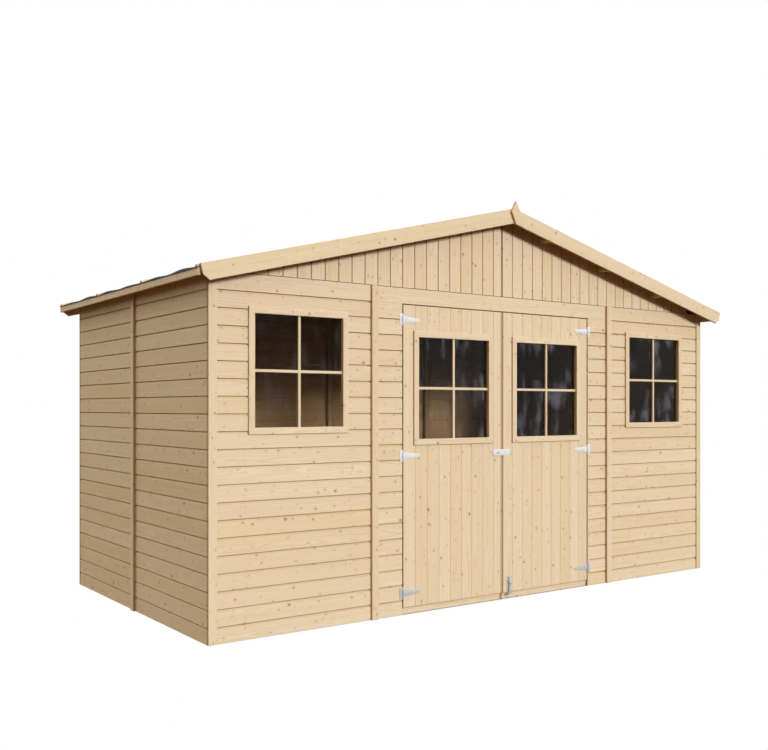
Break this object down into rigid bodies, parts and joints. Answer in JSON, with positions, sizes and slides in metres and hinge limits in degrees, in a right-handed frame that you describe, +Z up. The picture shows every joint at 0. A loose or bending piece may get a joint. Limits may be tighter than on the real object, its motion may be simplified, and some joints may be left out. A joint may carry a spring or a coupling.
{
  "type": "wooden garden shed",
  "caption": "Apex-roofed shed of tongue-and-groove boards with a pair of glazed double doors that swing outward, a hasp and a tower bolt, front windows and a felt roof.",
  "frame": {"origin": "on the ground at the middle of the footprint", "axes": "+X to the right of someone who faces the doors, +Y to the back, +Z up; the doors are on the -Y side"},
  "size_m": [4.094, 2.238, 2.4064],
  "materials": {
    "planed_pine": "planed, untreated",
    "sawn_pine": "sawn, untreated",
    "felt": "mineral roofing felt",
    "zinc": "bright zinc plate",
    "glass": "clear"
  },
  "bodies": {
    "shed": {"front_wall_left": "planed_pine", "front_wall_right": "planed_pine", "door_wall_left": "planed_pine", "door_wall_right": "planed_pine", "door_header": "planed_pine", "front_gable": "planed_pine", "left_wall": "planed_pine", "right_wall": "planed_pine", "back_wall": "planed_pine", "back_gable": "planed_pine", "wall_studs": "sawn_pine", "wall_rails": "sawn_pine", "door_sill": "sawn_pine", "corner_trims": "planed_pine", "cover_battens": "planed_pine", "front_window_left": "planed_pine", "front_window_left_pane": "glass", "front_window_right": "planed_pine", "front_window_right_pane": "glass", "hinge_plates": "zinc", "bolt_keeper": "zinc", "roof_deck_left": "sawn_pine", "roof_deck_right": "sawn_pine", "roof_felt_left": "felt", "roof_felt_right": "felt", "felt_battens": "planed_pine", "ridge_beam": "sawn_pine", "purlins": "sawn_pine", "eave_fascias": "planed_pine", "front_bargeboards": "planed_pine", "back_bargeboards": "planed_pine", "finials": "planed_pine"},
    "left_door": {"left_leaf": "planed_pine", "left_leaf_ledges": "sawn_pine", "left_leaf_window": "planed_pine", "left_leaf_window_pane": "glass", "left_hinge_straps": "zinc", "hasp_staple": "zinc"},
    "right_door": {"right_leaf": "planed_pine", "right_leaf_ledges": "sawn_pine", "right_leaf_window": "planed_pine", "right_leaf_window_pane": "glass", "right_hinge_straps": "zinc", "hasp_plate": "zinc", "bolt_guides": "zinc"},
    "hasp": {"hasp_strap": "zinc"},
    "bolt": {"bolt_rod": "zinc"}
  },
  "joints": [
    {"name": "left_door_hinge", "type": "hinge", "parent": "shed", "child": "left_door", "pos_m": [-0.754, -0.997, 0.9], "axis": [0, 0, -1], "range_deg": [0, 165]},
    {"name": "right_door_hinge", "type": "hinge", "parent": "shed", "child": "right_door", "pos_m": [0.754, -0.997, 0.9], "axis": [0, 0, 1], "range_deg": [0, 165]},
    {"name": "hasp_hinge", "type": "hinge", "parent": "right_door", "child": "hasp", "pos_m": [0.017, -0.996, 0.896], "axis": [0, 0, 1], "range_deg": [0, 165]},
    {"name": "bolt_slide", "type": "slide", "parent": "right_door", "child": "bolt", "axis": [0, 0, -1], "range_m": [0, 0.02]}
  ]
}
